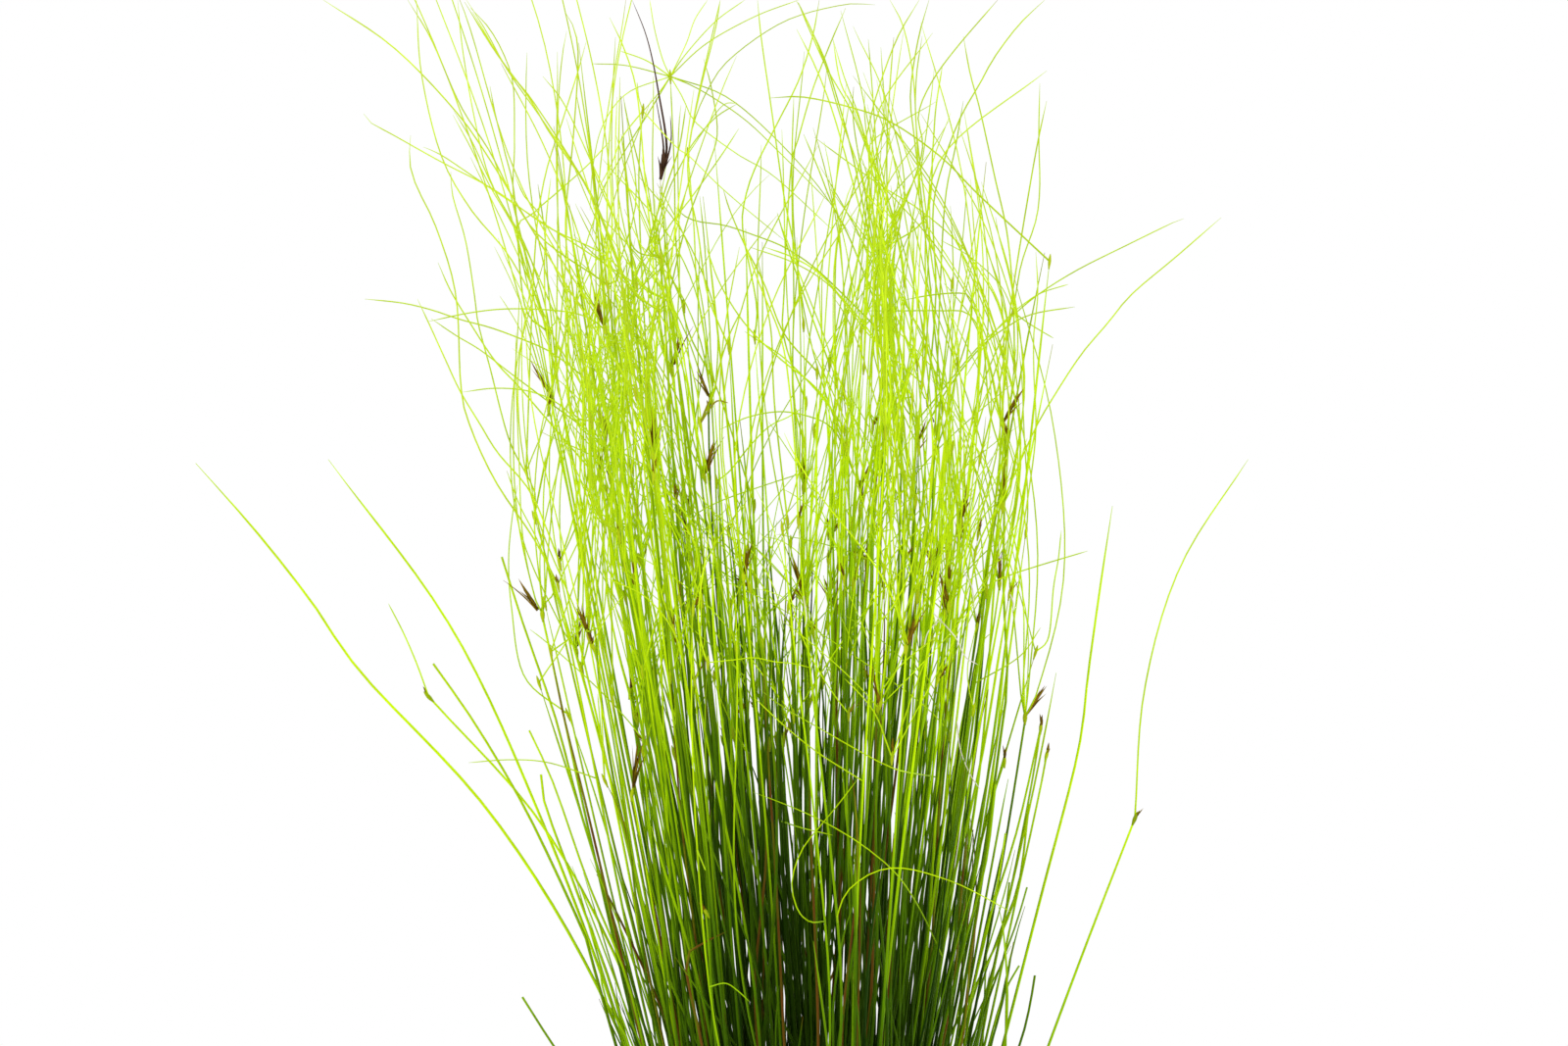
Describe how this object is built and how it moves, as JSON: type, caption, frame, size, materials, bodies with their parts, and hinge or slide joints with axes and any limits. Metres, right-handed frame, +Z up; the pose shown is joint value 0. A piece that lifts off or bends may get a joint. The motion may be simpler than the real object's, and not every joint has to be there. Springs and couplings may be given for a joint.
{
  "type": "umbrella hairgrass plant",
  "caption": "Upright tuft of hair-thin green culms on a flat-cut rootstock, many culms ending in a brown spikelet with a whorl of finer lime rays.",
  "frame": {"origin": "middle of the flat cut under the rootstock, where the plant rests", "axes": "+Z up along the culms, +X to the right and +Y to the back as the picture shows the tuft"},
  "size_m": [0.2116, 0.1952, 0.3361],
  "materials": {
    "rootstock": "matt, fibrous brown mat of rhizomes and cut roots",
    "culm": "waxy satin green stem, darker at the foot and lime towards the tip, finely ribbed along",
    "umbel": "translucent lime rays round a dry papery brown spikelet"
  },
  "bodies": {
    "root": {"crown": "rootstock", "tiller_01": "culm", "tiller_02": "culm", "tiller_03": "culm", "tiller_04": "culm", "tiller_05": "culm", "tiller_06": "culm", "tiller_07": "culm", "tiller_08": "culm", "tiller_09": "culm", "tiller_10": "culm", "tiller_11": "culm", "tiller_12": "culm", "tiller_13": "culm", "tiller_14": "culm", "tiller_15": "culm", "tiller_16": "culm", "tiller_17": "culm", "tiller_18": "culm", "tiller_19": "culm", "tiller_20": "culm", "tiller_21": "culm", "tiller_22": "culm", "tiller_23": "culm", "tiller_24": "culm", "tiller_25": "culm", "stray_culm_01": "culm", "stray_culm_02": "culm", "stray_culm_03": "culm", "stray_culm_04": "culm", "stray_culm_05": "culm", "stray_culm_06": "culm", "umbel_01": "umbel", "umbel_02": "umbel", "umbel_03": "umbel", "umbel_04": "umbel", "umbel_05": "umbel", "umbel_06": "umbel", "umbel_07": "umbel", "umbel_08": "umbel", "umbel_09": "umbel", "umbel_10": "umbel", "umbel_11": "umbel", "umbel_12": "umbel", "umbel_13": "umbel", "umbel_14": "umbel", "umbel_15": "umbel", "umbel_16": "umbel", "umbel_17": "umbel", "umbel_18": "umbel", "umbel_19": "umbel", "umbel_20": "umbel", "umbel_21": "umbel", "umbel_22": "umbel", "umbel_23": "umbel", "umbel_24": "umbel", "umbel_25": "umbel"}
  },
  "joints": []
}
